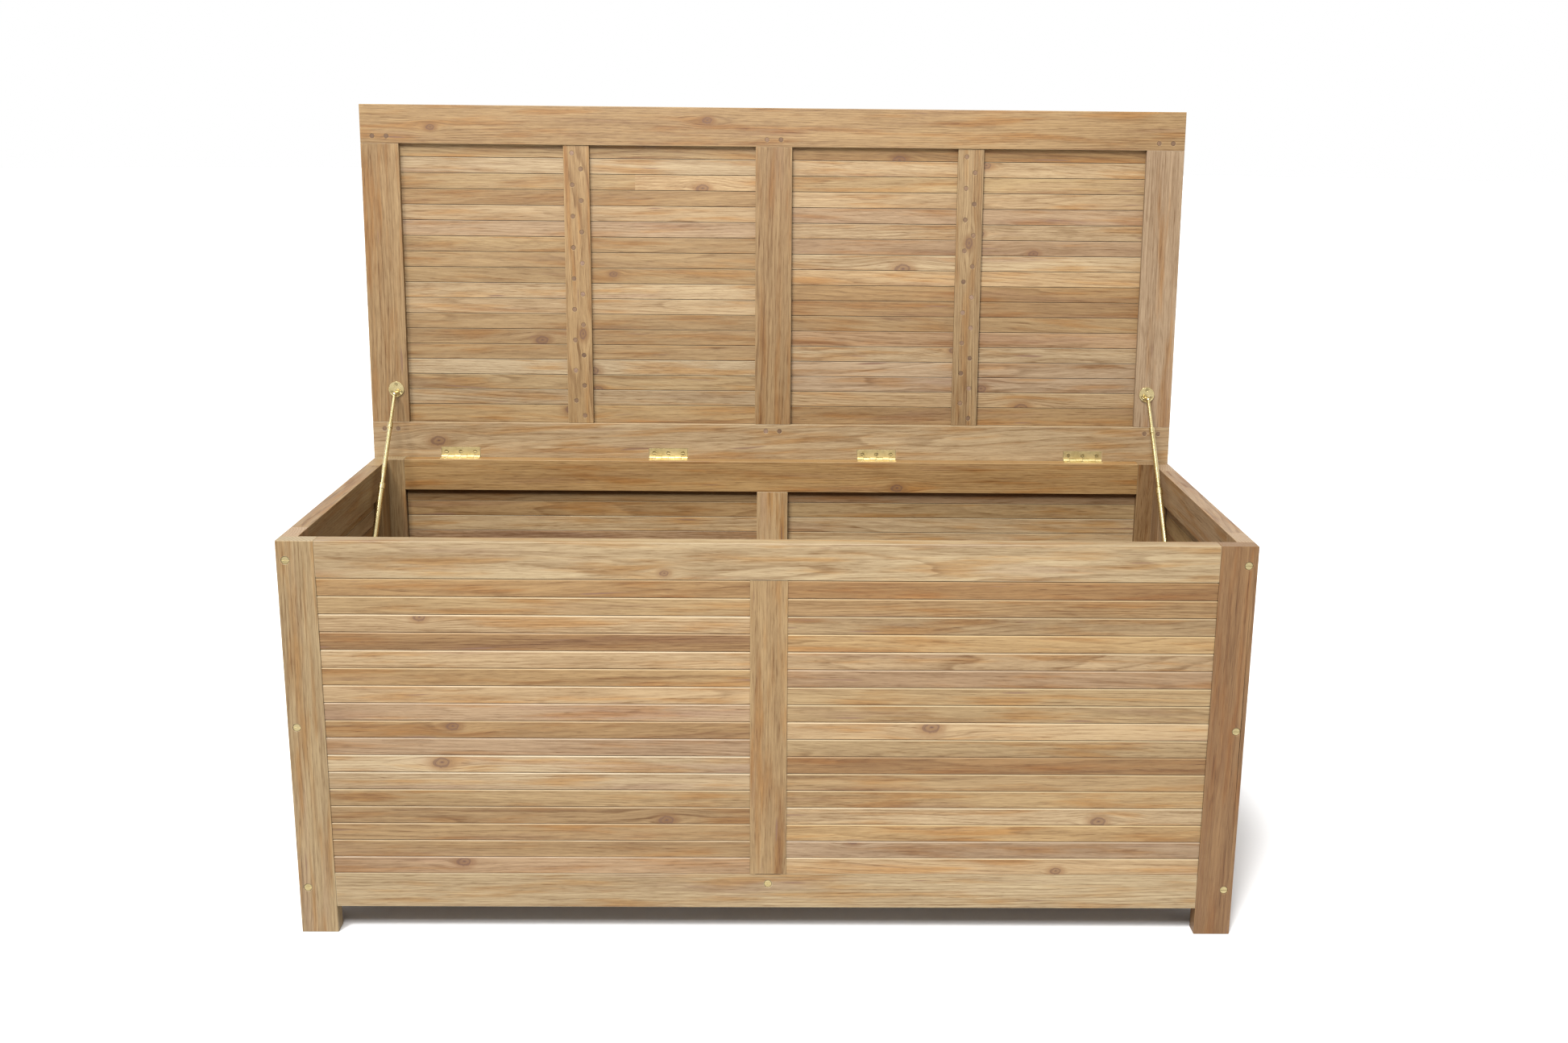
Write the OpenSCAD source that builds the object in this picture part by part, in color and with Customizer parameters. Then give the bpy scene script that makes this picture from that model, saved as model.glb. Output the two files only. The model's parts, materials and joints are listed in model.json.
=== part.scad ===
// Slatted teak deck box with a slatted lid, shown with the lid fully open.
// X runs along the box, the front faces -Y, the feet stand on Z = 0.
// The origin lies under the middle of the box and its open lid.

/* [Case] */
// Width of the case along its front
case_w = 1520; // [1400:10:1640]
// Depth of the case, front face to back face
case_d = 650; // [620:10:700]
// Height of the case, ground to rim
case_h = 660; // [640:10:720]
// Thickness of the frame boards
frame_t = 28; // [26:1:32]
// Width of the stiles, whose lower ends are the feet
stile_w = 59; // [56:1:66]
// Width of the top and bottom rails
rail_w = 59; // [56:1:66]
// Height of the bottom rails above the ground
foot_h = 46; // [35:1:60]
// Number of slats in the height of a case panel
case_slats = 17; // [12:1:18]
// Thickness of every slat
slat_t = 12; // [10:1:14]

/* [Floor] */
// Number of floor slats
floor_slats = 9; // [7:1:9]
// Width of a floor slat
floor_slat_w = 58; // [50:1:60]
// Height of the floor bearers and ledgers
bearer_h = 36; // [30:1:40]
// Height of the underside of the bearers above the ground
bearer_z = 70; // [60:1:74]

/* [Lid] */
// How far the lid stands out past each face of the case
lid_over = 4; // [3:0.5:6]
// Thickness of the lid frame
lid_t = 25; // [24:1:30]
// Width of the lid frame boards
lid_rail_w = 70; // [64:1:76]
// Width of the centre muntin
muntin_w = 68; // [60:1:76]
// Number of slats from the hinge rail to the front rail
lid_slats = 18; // [14:1:20]
// Width of the battens that tie the slats together
batten_w = 48; // [40:1:56]
// Distance of each batten's centre line from the middle of the lid
batten_x = 367; // [350:1:384]
// Lean of the open lid past upright, in degrees
lid_lean = 2.5; // [2:0.1:4]

/* [Hinges] */
// Length of a butt hinge
hinge_l = 74; // [70:1:80]
// Reach of a leaf from the pin
leaf_reach = 18; // [16:1:20]
// Distance of the inner hinges from the middle of the box
hinge_inner_x = 200; // [180:5:220]
// Distance of the outer hinges from the middle of the box
hinge_outer_x = 598; // [580:1:610]

/* [Stays] */
// Distance of the stays from the middle of the box
stay_x = 716; // [712:1:718]
// Height of a stay's ball on the open lid above the hinge pins
ball_up = 121; // [116:1:126]
// Lean of an extended stay from upright, in degrees
stay_lean = 42.7; // [41:0.1:44]
// Extended length of a stay from its lower pivot to its ball
stay_l = 345; // [343:1:347]

/* [Hidden] */
$fn = 40;
eps = 0.01;
fit = 0.15;

teak_frame = [0.68, 0.53, 0.36];
teak_slat = [0.76, 0.62, 0.42];
teak_plug = [0.42, 0.29, 0.18];
brass = [0.85, 0.70, 0.36];

// Joinery
tenon_l = 30;
tenon_t = 10;
shoulder = 9;
groove_d = 8;
recess = 1;
slat_gap = 0.4;
chamfer = 2;
lap = 5;

// Screws
case_head_r = 6;
case_head_t = 3;
case_shank_r = 2.5;
case_screw_l = 54;
head_sink = 1;
small_head_r = 3.7;
small_shank_r = 1.7;
small_head_t = 2;
small_screw_l = 14;
screw_play = 0.1;
head_play = 0.4;
plate_head_r = 3;
plate_shank_r = 1.5;
plate_head_t = 1.7;
plate_screw_l = 10;
slot_w = 1.2;
slot_deep = 0.9;

// Case
panel_z = foot_h + rail_w;
panel_h = case_h - rail_w - panel_z;
case_span = case_w - 2 * stile_w;
side_w = case_d - 2 * frame_t;
side_span = side_w - 2 * stile_w;
screw_heights = [foot_h + 33, case_h / 2 + 24.5, case_h - 31.5];
pilot_l = case_screw_l + head_sink - frame_t + 0.5;
bearer_w = 30;
ledger_w = 20;
floor_z = bearer_z + bearer_h + 0.2;
ledger_x = case_w / 2 - frame_t - ledger_w / 2;
bearer_screw_z = bearer_z + bearer_h / 2;

// Lid, in its own axes: hinge pins on X, underside at Y = seat, front edge up
seat = 0.5;
hinge_y = case_d + 0.5;
hinge_z = case_h + seat;
lid_w = case_w + 2 * lid_over;
lid_top = case_d + lid_over;
lid_low = lid_rail_w - lid_over;
lid_high = lid_top - lid_rail_w;
lid_panel_h = lid_high - lid_low;
lid_panel_w = (lid_w - 2 * lid_rail_w - muntin_w) / 2;
lid_slat_y = seat + lid_t - recess - slat_t;
batten_t = 9.5;
end_gap = 0.3;
batten_y = lid_slat_y - batten_t - 0.2;
plug_r = 4;
plug_t = 4;
plug_zigzag = 8;
pin_half = 13;
pin_in = 13;

// Hinges
hinge_xs = [-hinge_outer_x, -hinge_inner_x, hinge_inner_x, hinge_outer_x];
knuckles = 6;
knuckle_l = hinge_l / knuckles;
knuckle_r = 3.2;
leaf_t = 2;
pin_r = 1.5;
bore_play = 0.06;
knuckle_play = 0.4;
knuckle_gap = 0.2;
leaf_screw_z = 9.5;
leaf_screw_step = 27.3;

// Stays
ball_r = 5.3;
stud_r = 3.5;
stud_gap = 1;
ball_out = 17.5;
rod_r = 3.2;
middle_r = 4.05;
lower_r = 5.3;
rod_l = 120;
middle_l = 146;
rod_shown = 64;
middle_shown = 132;
lower_l = stay_l - rod_shown - middle_shown;
collar_l = 12;
rim = 1;
tube_foot = 5.2;
lower_bore_foot = 13;
plate_r = 14.5;
plate_t = 2.5;
plate_up = ball_up + 7.6;
plate_screw_out = 9.6;
eye_r = 6.5;
eye_l = 8;
pivot_r = 4.5;
side_play = 0.3;
ball_y = hinge_y - ball_out * cos(lid_lean) + ball_up * sin(lid_lean);
ball_z = hinge_z + ball_out * sin(lid_lean) + ball_up * cos(lid_lean);
pivot_y = ball_y - stay_l * sin(stay_lean);
pivot_z = ball_z - stay_l * cos(stay_lean);
bracket_x = case_w / 2 - recess - slat_t;

// Half the depth of the box with its lid open
centre_y = (hinge_y + (seat + lid_t) * cos(lid_lean) + lid_top * sin(lid_lean)) / 2;

// ---- Places ----

// Moves a piece from the front face's plane to the part's own origin
module in_place() {
    translate([0, -centre_y, 0]) children();
}

// Axes of the front frame: X from its left edge, outer face at Y = 0
module on_front() {
    in_place() translate([-case_w / 2, 0, 0]) children();
}

// Axes of the back frame, seen from behind
module on_back() {
    in_place() translate([case_w / 2, case_d, 0]) rotate([0, 0, 180]) children();
}

// Axes of the left frame, X from its back edge
module on_left() {
    in_place() translate([-case_w / 2, case_d - frame_t, 0]) rotate([0, 0, -90]) children();
}

// Axes of the right frame, X from its front edge
module on_right() {
    in_place() translate([case_w / 2, frame_t, 0]) rotate([0, 0, 90]) children();
}

// Axes of the open lid
module on_lid() {
    in_place() translate([0, hinge_y, hinge_z]) rotate([-lid_lean, 0, 0]) children();
}

// Axes of the left stay: pivot at the origin, ball along +Z
module on_stay() {
    in_place() translate([-stay_x, pivot_y, pivot_z]) rotate([-stay_lean, 0, 0]) children();
}

// The right-hand twin of a left-hand piece
module twin() {
    mirror([1, 0, 0]) children();
}

// A frame's far edge, mirrored from its near edge
module far_edge(width) {
    translate([width, 0, 0]) mirror([1, 0, 0]) children();
}

// ---- Screws ----

// Slotted screw: head face at Z = 0, shank down
module slotted_screw(head_r, head_t, shank_r, length, countersunk) {
    difference() {
        union() {
            translate([0, 0, -head_t])
                cylinder(r1 = countersunk ? shank_r : head_r, r2 = head_r, h = head_t);
            translate([0, 0, -length]) cylinder(r = shank_r, h = length - head_t + eps);
        }
        translate([-head_r, -slot_w / 2, -slot_deep]) cube([2 * head_r, slot_w, 1]);
    }
}

module case_screw() {
    slotted_screw(case_head_r, case_head_t, case_shank_r, case_screw_l, false);
}

module small_screw() {
    slotted_screw(small_head_r, small_head_t, small_shank_r, small_screw_l, true);
}

// Counterbored hole for a case screw, outer face at Z = 0
module case_screw_hole() {
    translate([0, 0, -head_sink - case_head_t - fit])
        cylinder(r = case_head_r + head_play, h = 10);
    translate([0, 0, -case_screw_l - 2])
        cylinder(r = case_shank_r + screw_play, h = case_screw_l);
}

// Countersunk hole for a small screw, outer face at Z = 0
module small_screw_hole() {
    translate([0, 0, -small_head_t - fit])
        cylinder(r1 = small_shank_r + screw_play, r2 = small_head_r + screw_play,
                 h = small_head_t + fit);
    translate([0, 0, -eps]) cylinder(r = small_head_r + screw_play, h = 5);
    translate([0, 0, -small_screw_l - 2])
        cylinder(r = small_shank_r + screw_play, h = small_screw_l);
}

// Points a screw that stands on Z towards a frame's outer face
module into_face(x, z) {
    translate([x, 0, z]) rotate([90, 0, 0]) children();
}

// ---- Frame boards ----

// Slot for a tenon whose shoulder stands at X = 0, for a board of this width
module mortise(width, thick) {
    translate([-tenon_l - 1, (thick - tenon_t) / 2 - fit, shoulder - fit])
        cube([tenon_l + 1 + eps, tenon_t + 2 * fit, width - 2 * shoulder + 2 * fit]);
}

// Board along X with a tenon at each end
module tenoned_board(span, width, thick) {
    cube([span, thick, width]);
    translate([-tenon_l, (thick - tenon_t) / 2, shoulder])
        cube([span + 2 * tenon_l, tenon_t, width - 2 * shoulder]);
}

// The same board standing up, its foot at Z = 0
module upright_board(height, width, thick) {
    translate([width, 0, 0]) rotate([0, -90, 0]) tenoned_board(height, width, thick);
}

// Groove for slat ends, opening towards +X at X = 0
module slat_groove(height, face_y) {
    translate([-groove_d, face_y - fit, -fit])
        cube([groove_d + eps, slat_t + 2 * fit, height + 2 * fit]);
}

// Stile of a case frame, standing from the ground to the rim
module case_stile() {
    difference() {
        cube([stile_w, frame_t, case_h]);
        translate([stile_w, 0, panel_z]) slat_groove(panel_h, recess);
        for (z = [foot_h, case_h - rail_w])
            translate([stile_w, 0, z]) mortise(rail_w, frame_t);
    }
}

// Stile of the front or back frame, drilled for the corner screws
module screwed_stile() {
    color(teak_frame) difference() {
        case_stile();
        for (z = screw_heights)
            into_face(frame_t / 2, z) case_screw_hole();
    }
}

// Stile of a side frame, drilled in its edge for the corner screws
module pilot_stile() {
    color(teak_frame) difference() {
        case_stile();
        for (z = screw_heights)
            translate([-1, frame_t / 2, z]) rotate([0, 90, 0])
                cylinder(r = case_shank_r + screw_play, h = pilot_l + 1);
    }
}

// Slot in a rail for the mullion's tenon, opening upward at Z = 0
module mullion_mortise() {
    translate([case_span / 2 + stile_w / 2, 0, 0]) rotate([0, -90, 0])
        mortise(stile_w, frame_t);
}

module top_rail() {
    difference() {
        tenoned_board(case_span, rail_w, frame_t);
        mirror([0, 0, 1]) mullion_mortise();
    }
}

module bottom_rail() {
    color(teak_frame) difference() {
        tenoned_board(case_span, rail_w, frame_t);
        translate([0, 0, rail_w]) mullion_mortise();
        into_face(case_span / 2, bearer_screw_z - foot_h) case_screw_hole();
    }
}

// Pocket in the back top rail for one hinge, centred on its pin
module case_leaf_pocket() {
    translate([-hinge_l / 2 - fit, -leaf_reach - fit, -seat - leaf_t - fit])
        cube([hinge_l + 2 * fit, leaf_reach + fit, leaf_t + seat + 5]);
    translate([-hinge_l / 2 - fit, -knuckle_r - knuckle_play, -knuckle_r - knuckle_play])
        cube([hinge_l + 2 * fit, knuckle_r + 5, knuckle_r + 5]);
}

// Screw holes of one case leaf
module leaf_screws() {
    for (x = [-leaf_screw_step, 0, leaf_screw_step])
        translate([x, -leaf_screw_z, -seat]) children();
}

module back_top_rail() {
    color(teak_frame) difference() {
        on_back() translate([stile_w, 0, case_h - rail_w]) top_rail();
        in_place() for (x = hinge_xs) translate([x, hinge_y, hinge_z]) {
            case_leaf_pocket();
            leaf_screws() small_screw_hole();
        }
    }
}

// Mullion whose lower tenon is crossed by the screw into the floor bearer
module mullion() {
    color(teak_frame) difference() {
        upright_board(panel_h, stile_w, frame_t);
        translate([stile_w, 0, 0]) slat_groove(panel_h, recess);
        far_edge(stile_w) translate([stile_w, 0, 0]) slat_groove(panel_h, recess);
        into_face(stile_w / 2, bearer_screw_z - panel_z) case_screw_hole();
    }
}

module place_mullion() {
    translate([(case_w - stile_w) / 2, 0, panel_z]) children();
}

// ---- Slats ----

// Outline of a slat: chamfered outer top edge, a lap above and below
function slat_outline(height, lap_up, lap_down) = concat(
    [[0, 0], [0, height - chamfer], [chamfer, height]],
    lap_up ? [[slat_t / 2, height], [slat_t / 2, height + lap], [slat_t, height + lap]]
           : [[slat_t, height]],
    lap_down ? [[slat_t, lap + slat_gap], [slat_t / 2 - slat_gap, lap + slat_gap],
                [slat_t / 2 - slat_gap, 0]]
             : [[slat_t, 0]]
);

// One slat along X, outer face at Y = 0
module slat(length, height, lap_up, lap_down) {
    rotate([90, 0, 90]) linear_extrude(length)
        polygon(slat_outline(height, lap_up, lap_down));
}

// A stack of lapped slats that fills a panel between two grooves
module slat_panel(span, height, count) {
    pitch = height / count;
    color(teak_slat) for (i = [0 : count - 1])
        translate([-groove_d + 0.5, 0, i * pitch + slat_gap / 2])
            slat(span + 2 * groove_d - 1, pitch - slat_gap, i < count - 1, i > 0);
}

module case_slats_left() {
    translate([stile_w, recess, panel_z])
        slat_panel((case_span - stile_w) / 2, panel_h, case_slats);
}

module case_slats_right() {
    translate([(case_w + stile_w) / 2, recess, panel_z])
        slat_panel((case_span - stile_w) / 2, panel_h, case_slats);
}

// ---- Side frames ----

module side_rail(z) {
    color(teak_frame) translate([stile_w, 0, z]) tenoned_board(side_span, rail_w, frame_t);
}

// Where a stay bracket's screws go, on the inner face of the left slats
module bracket_screws() {
    in_place() translate([-bracket_x + plate_t, pivot_y, pivot_z]) rotate([0, 90, 0])
        plate_screw_spots() children();
}

// Three screw spots on a stay plate
module plate_screw_spots() {
    for (turn = [90, 210, 330])
        rotate([0, 0, turn]) translate([plate_screw_out, 0, 0]) children();
}

module left_slats() {
    difference() {
        on_left() translate([stile_w, recess, panel_z])
            slat_panel(side_span, panel_h, case_slats);
        bracket_screws() plate_pilot();
    }
}

// Pilot in the wood under a stay plate, for one of its short screws
module plate_pilot() {
    translate([0, 0, -plate_t - 9]) cylinder(r = small_shank_r + screw_play, h = plate_t + 10);
}

// ---- Floor ----

module floor_screw_spots(x) {
    pitch = (side_w - 4 - floor_slat_w) / (floor_slats - 1);
    for (i = [0 : floor_slats - 1])
        translate([x, frame_t + 2 + floor_slat_w / 2 + i * pitch, floor_z + slat_t]) children();
}

module floor_bearer() {
    color(teak_frame) in_place() difference() {
        translate([-bearer_w / 2, frame_t, bearer_z]) cube([bearer_w, side_w, bearer_h]);
        floor_screw_spots(0) small_screw_hole();
        for (y = [frame_t - 1, case_d - frame_t + 1 - case_screw_l])
            translate([0, y, bearer_screw_z]) rotate([-90, 0, 0])
                cylinder(r = case_shank_r + screw_play, h = case_screw_l);
    }
}

module floor_ledger() {
    color(teak_frame) in_place() difference() {
        translate([-ledger_x - ledger_w / 2, frame_t + 2, bearer_z])
            cube([ledger_w, side_w - 4, bearer_h]);
        floor_screw_spots(-ledger_x) small_screw_hole();
    }
}

module floor_slats() {
    half = case_w / 2 - frame_t - 2;
    color(teak_slat) in_place() difference() {
        floor_screw_spots(-half)
            translate([0, -floor_slat_w / 2, -slat_t]) cube([2 * half, floor_slat_w, slat_t]);
        for (x = [-ledger_x, 0, ledger_x])
            floor_screw_spots(x) small_screw_hole();
    }
}

// ---- Case fasteners ----

// Screws of the front frame: three in each stile and one into the floor bearer
module front_case_screws() {
    for (z = screw_heights) {
        into_face(frame_t / 2, z) translate([0, 0, -head_sink]) case_screw();
        into_face(case_w - frame_t / 2, z) translate([0, 0, -head_sink]) case_screw();
    }
    into_face(case_w / 2, bearer_screw_z) translate([0, 0, -head_sink]) case_screw();
}

module case_screws() {
    color(brass) {
        on_front() front_case_screws();
        on_back() front_case_screws();
        in_place() for (x = [-ledger_x, 0, ledger_x])
            floor_screw_spots(x) small_screw();
    }
}

// Shorter screw through a stay plate
module plate_screw() {
    slotted_screw(plate_head_r, plate_head_t, plate_shank_r, plate_screw_l, true);
}

// Countersunk hole for it, outer face at Z = 0
module plate_screw_hole() {
    translate([0, 0, -plate_head_t - fit])
        cylinder(r1 = plate_shank_r + screw_play, r2 = plate_head_r + screw_play,
                 h = plate_head_t + fit);
    translate([0, 0, -plate_screw_l]) cylinder(r = plate_shank_r + screw_play, h = plate_screw_l);
}

module case_hardware_screws() {
    color(brass) {
        in_place() for (x = hinge_xs) translate([x, hinge_y, hinge_z])
            leaf_screws() small_screw();
        bracket_screws() plate_screw();
        twin() bracket_screws() plate_screw();
    }
}

// ---- Lid ----

// A lid board along X between two ends, its lower edge at Z = z
module lid_board(z) {
    translate([-lid_w / 2, seat, z]) cube([lid_w, lid_t, lid_rail_w]);
}

// The three uprights' tenon slots, opening upward at Z = 0
module lid_mortises() {
    for (x = [-lid_w / 2 + lid_rail_w, lid_w / 2])
        translate([x, seat, 0]) rotate([0, -90, 0]) mortise(lid_rail_w, lid_t);
    translate([muntin_w / 2, seat, 0]) rotate([0, -90, 0]) mortise(muntin_w, lid_t);
}

// Wooden pegs that lock the tenons near one edge of the slatted field
module peg_spots() {
    stile_mid = (lid_w - lid_rail_w) / 2;
    for (x = [-stile_mid, 0, stile_mid], dx = [-pin_half, pin_half],
         z = [lid_low - pin_in, lid_high + pin_in])
        translate([x + dx, seat, z]) rotate([90, 0, 0]) children();
}

// Plugs over a batten's screws, one to a slat, to the right and left in turn
module batten_plug_spots(x) {
    pitch = lid_panel_h / lid_slats;
    for (i = [0 : lid_slats - 1])
        translate([x + (i % 2 == 0 ? plug_zigzag : -plug_zigzag), batten_y,
                   lid_low + (i + 0.5) * pitch]) rotate([90, 0, 0]) children();
}

module plug() {
    translate([0, 0, -plug_t]) cylinder(r = plug_r, h = plug_t);
}

module plug_hole() {
    translate([0, 0, -plug_t - fit]) cylinder(r = plug_r + 0.05, h = plug_t + 1);
}

// Pocket in the hinge rail for one lid leaf, centred on its pin
module lid_leaf_pocket() {
    translate([-hinge_l / 2 - fit, -5, -fit])
        cube([hinge_l + 2 * fit, leaf_t + seat + fit + 5, leaf_reach + 2 * fit]);
    translate([-hinge_l / 2 - fit, -5, -lid_over - 1])
        cube([hinge_l + 2 * fit, 5 + knuckle_r + knuckle_play,
              lid_over + 1 + knuckle_r + knuckle_play]);
}

// Screw holes of one lid leaf
module lid_leaf_screws() {
    for (x = [-leaf_screw_step, 0, leaf_screw_step])
        translate([x, seat, leaf_screw_z]) rotate([90, 0, 0]) children();
}

// Where a stay plate's screws go, on the underside of the left lid stile
module lid_plate_screws() {
    translate([-stay_x, seat - plate_t, plate_up]) rotate([90, 0, 0])
        plate_screw_spots() children();
}

module lid_hinge_rail() {
    color(teak_frame) on_lid() difference() {
        lid_board(-lid_over);
        translate([0, 0, lid_low]) lid_mortises();
        for (x = hinge_xs) translate([x, 0, 0]) {
            lid_leaf_pocket();
            lid_leaf_screws() small_screw_hole();
        }
        peg_spots() plug_hole();
    }
}

module lid_front_rail() {
    color(teak_frame) on_lid() difference() {
        lid_board(lid_high);
        translate([0, 0, lid_high]) mirror([0, 0, 1]) lid_mortises();
        peg_spots() plug_hole();
    }
}

module lid_stile() {
    color(teak_frame) on_lid() difference() {
        translate([-lid_w / 2, seat, lid_low]) upright_board(lid_panel_h, lid_rail_w, lid_t);
        translate([-lid_w / 2 + lid_rail_w, 0, lid_low]) slat_groove(lid_panel_h, lid_slat_y);
        lid_plate_screws() plate_pilot();
    }
}

module lid_muntin() {
    color(teak_frame) on_lid() difference() {
        translate([-muntin_w / 2, seat, lid_low]) upright_board(lid_panel_h, muntin_w, lid_t);
        for (side = [0, 1]) mirror([side, 0, 0])
            translate([muntin_w / 2, 0, lid_low]) slat_groove(lid_panel_h, lid_slat_y);
    }
}

module lid_batten(x) {
    color(teak_frame) on_lid() difference() {
        translate([x - batten_w / 2, batten_y, lid_low + end_gap])
            cube([batten_w, batten_t, lid_panel_h - 2 * end_gap]);
        batten_plug_spots(x) plug_hole();
    }
}

// Slats of the left field, their chamfered faces on the lid's outside
module lid_slats_left() {
    on_lid() translate([-lid_w / 2 + lid_rail_w, seat + lid_t - recess, lid_low])
        mirror([0, 1, 0]) slat_panel(lid_panel_w, lid_panel_h, lid_slats);
}

module lid_plugs() {
    color(teak_plug) on_lid() {
        peg_spots() plug();
        batten_plug_spots(-batten_x) plug();
        batten_plug_spots(batten_x) plug();
    }
}

module lid_hardware_screws() {
    color(brass) on_lid() {
        for (x = hinge_xs) translate([x, 0, 0]) lid_leaf_screws() small_screw();
        lid_plate_screws() plate_screw();
        twin() lid_plate_screws() plate_screw();
    }
}

// ---- Hinges ----

// Half of a butt hinge: pin on X, leaf standing up, every second knuckle from `first`
module hinge_half(first) {
    difference() {
        union() {
            translate([-hinge_l / 2, seat, knuckle_r + side_play])
                cube([hinge_l, leaf_t, leaf_reach - knuckle_r - side_play]);
            for (k = [first : 2 : knuckles - 1])
                translate([-hinge_l / 2 + k * knuckle_l + knuckle_gap / 2, 0, 0]) {
                    rotate([0, 90, 0]) cylinder(r = knuckle_r, h = knuckle_l - knuckle_gap);
                    translate([0, seat, 0])
                        cube([knuckle_l - knuckle_gap, leaf_t, knuckle_r + 1]);
                }
        }
        translate([-hinge_l / 2 - 1, 0, 0]) rotate([0, 90, 0])
            cylinder(r = pin_r + bore_play, h = hinge_l + 2);
        lid_leaf_screws() small_screw_hole();
    }
}

module lid_leaf(n) {
    color(brass) on_lid() translate([hinge_xs[n - 1], 0, 0]) hinge_half(0);
}

module case_leaf(n) {
    color(brass) in_place() translate([hinge_xs[n - 1], hinge_y, hinge_z])
        mirror([0, 0, 1]) rotate([90, 0, 0]) hinge_half(1);
}

module hinge_pins() {
    color(brass) in_place() for (x = hinge_xs)
        translate([x - hinge_l / 2, hinge_y, hinge_z]) rotate([0, 90, 0])
            cylinder(r = pin_r, h = hinge_l);
}

// ---- Stays ----

// Round plate and ball stud on the underside of the lid stile
module stay_lid_plate() {
    stud_tip = -ball_out + ball_r + stud_gap;
    color(brass) on_lid() translate([-stay_x, 0, 0]) difference() {
        union() {
            translate([0, seat, plate_up]) rotate([90, 0, 0]) cylinder(r = plate_r, h = plate_t);
            translate([0, seat - 1, ball_up]) rotate([90, 0, 0])
                cylinder(r = stud_r, h = seat - 1 - stud_tip);
        }
        translate([0, seat - plate_t, plate_up]) rotate([90, 0, 0])
            plate_screw_spots() plate_screw_hole();
    }
}

module stay_rod() {
    color(brass) on_stay() {
        translate([0, 0, stay_l - rod_l]) cylinder(r = rod_r, h = rod_l);
        translate([0, 0, stay_l]) sphere(r = ball_r);
    }
}

module stay_middle_tube() {
    top = lower_l + middle_shown;
    color(brass) on_stay() difference() {
        union() {
            translate([0, 0, top - middle_l]) cylinder(r = middle_r, h = middle_l);
            translate([0, 0, top - collar_l]) cylinder(r = middle_r + rim, h = collar_l);
        }
        translate([0, 0, top - middle_l + 2]) cylinder(r = rod_r + bore_play, h = middle_l);
    }
}

module stay_lower_tube() {
    color(brass) on_stay() difference() {
        union() {
            translate([-eye_l / 2, 0, 0]) rotate([0, 90, 0]) cylinder(r = eye_r, h = eye_l);
            translate([0, 0, tube_foot]) cylinder(r = lower_r, h = lower_l - tube_foot);
            translate([0, 0, lower_l - collar_l]) cylinder(r = lower_r + rim, h = collar_l);
        }
        translate([0, 0, lower_bore_foot]) cylinder(r = middle_r + bore_play, h = lower_l);
        translate([-eye_l, 0, 0]) rotate([0, 90, 0])
            cylinder(r = rod_r + bore_play, h = 2 * eye_l);
    }
}

// Round plate on the side slats with the pivot that carries the stay
module stay_bracket() {
    shoulder_l = bracket_x - stay_x - eye_l / 2 - side_play;
    color(brass) in_place() translate([-bracket_x, pivot_y, pivot_z]) rotate([0, 90, 0])
    difference() {
        union() {
            cylinder(r = plate_r, h = plate_t);
            cylinder(r = pivot_r, h = shoulder_l);
            cylinder(r = rod_r, h = shoulder_l + eye_l + 2);
            translate([0, 0, shoulder_l + eye_l + 2 * side_play]) cylinder(r = pivot_r, h = 2);
        }
        translate([0, 0, plate_t]) plate_screw_spots() plate_screw_hole();
    }
}

// ---- Assembly ----

on_front() screwed_stile();  // front_left_stile
on_front() far_edge(case_w) screwed_stile();  // front_right_stile
color(teak_frame) on_front() translate([stile_w, 0, case_h - rail_w]) top_rail();  // front_top_rail
on_front() translate([stile_w, 0, foot_h]) bottom_rail();  // front_bottom_rail
on_front() place_mullion() mullion();  // front_mullion
on_front() case_slats_left();  // front_slats_left
on_front() case_slats_right();  // front_slats_right
on_back() far_edge(case_w) screwed_stile();  // back_left_stile
on_back() screwed_stile();  // back_right_stile
back_top_rail();
on_back() translate([stile_w, 0, foot_h]) bottom_rail();  // back_bottom_rail
on_back() place_mullion() mullion();  // back_mullion
on_back() case_slats_right();  // back_slats_left
on_back() case_slats_left();  // back_slats_right
on_left() far_edge(side_w) pilot_stile();  // left_front_stile
on_left() pilot_stile();  // left_back_stile
on_left() side_rail(case_h - rail_w);  // left_top_rail
on_left() side_rail(foot_h);  // left_bottom_rail
left_slats();
on_right() pilot_stile();  // right_front_stile
on_right() far_edge(side_w) pilot_stile();  // right_back_stile
on_right() side_rail(case_h - rail_w);  // right_top_rail
on_right() side_rail(foot_h);  // right_bottom_rail
twin() left_slats();  // right_slats
floor_bearer();
floor_ledger();  // floor_ledger_left
twin() floor_ledger();  // floor_ledger_right
floor_slats();
case_screws();
case_hardware_screws();
lid_hinge_rail();
lid_front_rail();
lid_stile();  // lid_left_stile
twin() lid_stile();  // lid_right_stile
lid_muntin();
lid_batten(-batten_x);  // lid_batten_left
lid_batten(batten_x);  // lid_batten_right
lid_slats_left();
twin() lid_slats_left();  // lid_slats_right
lid_plugs();
lid_hardware_screws();
case_leaf(1);  // hinge_1_case_leaf
case_leaf(2);  // hinge_2_case_leaf
case_leaf(3);  // hinge_3_case_leaf
case_leaf(4);  // hinge_4_case_leaf
lid_leaf(1);  // hinge_1_lid_leaf
lid_leaf(2);  // hinge_2_lid_leaf
lid_leaf(3);  // hinge_3_lid_leaf
lid_leaf(4);  // hinge_4_lid_leaf
hinge_pins();
stay_lid_plate();  // stay_left_lid_plate
stay_rod();  // stay_left_rod
stay_middle_tube();  // stay_left_middle_tube
stay_lower_tube();  // stay_left_lower_tube
stay_bracket();  // stay_left_bracket
twin() stay_lid_plate();  // stay_right_lid_plate
twin() stay_rod();  // stay_right_rod
twin() stay_middle_tube();  // stay_right_middle_tube
twin() stay_lower_tube();  // stay_right_lower_tube
twin() stay_bracket();  // stay_right_bracket
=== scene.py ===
"""Looks of the slatted teak deck box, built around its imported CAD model."""

import json
import math
import random

import bmesh
import bpy
import numpy as np
from mathutils import Matrix, Vector


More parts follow.
